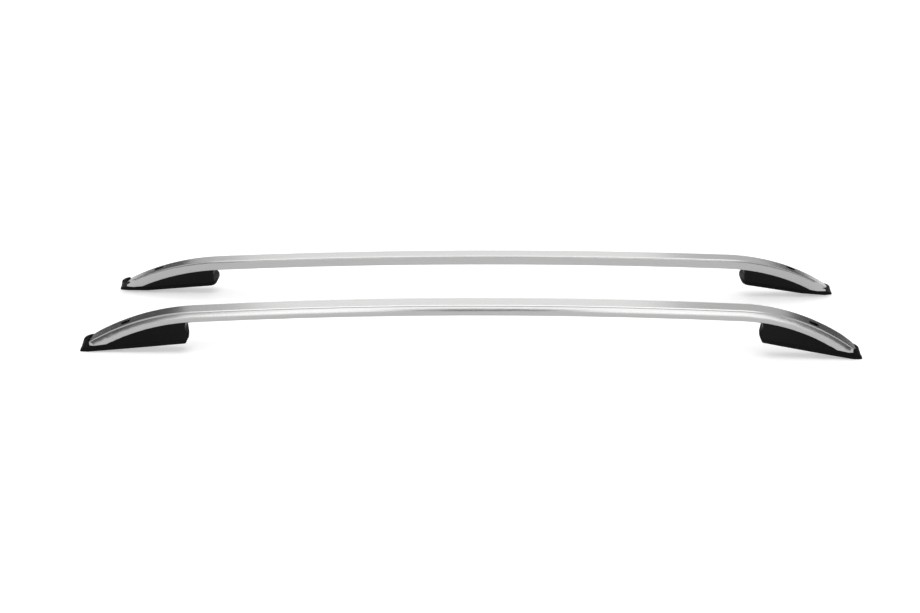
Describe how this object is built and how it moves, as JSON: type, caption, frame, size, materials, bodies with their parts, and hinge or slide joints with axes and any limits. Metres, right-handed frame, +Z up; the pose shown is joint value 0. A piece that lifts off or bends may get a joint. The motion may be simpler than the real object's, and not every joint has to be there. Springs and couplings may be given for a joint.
{
  "type": "roof side rail pair",
  "caption": "Mirrored pair of arched aluminium roof side rails with moulded feet, rubber base seals and slotted ends for the mounting bolts.",
  "frame": {"origin": "on the floor, midway between the two rails and midway between their tips", "axes": "+X along the rails to the rear, +Y to the right-hand rail, +Z up"},
  "size_m": [1.902, 0.3588, 0.1273],
  "materials": {
    "bar": "satin anodised",
    "foot": "fine-grained black moulding",
    "seal": "matt black",
    "steel": "bright zinc",
    "zinc": "zinc plated"
  },
  "bodies": {
    "root": {"left_bar": "bar", "left_front_foot": "foot", "left_front_seal": "seal", "left_front_sleeve": "steel", "left_front_screws": "steel", "left_front_rivet_nuts": "zinc", "left_rear_foot": "foot", "left_rear_seal": "seal", "left_rear_sleeve": "steel", "left_rear_screws": "steel", "left_rear_rivet_nuts": "zinc", "right_bar": "bar", "right_front_foot": "foot", "right_front_seal": "seal", "right_front_sleeve": "steel", "right_front_screws": "steel", "right_front_rivet_nuts": "zinc", "right_rear_foot": "foot", "right_rear_seal": "seal", "right_rear_sleeve": "steel", "right_rear_screws": "steel", "right_rear_rivet_nuts": "zinc"}
  },
  "joints": []
}
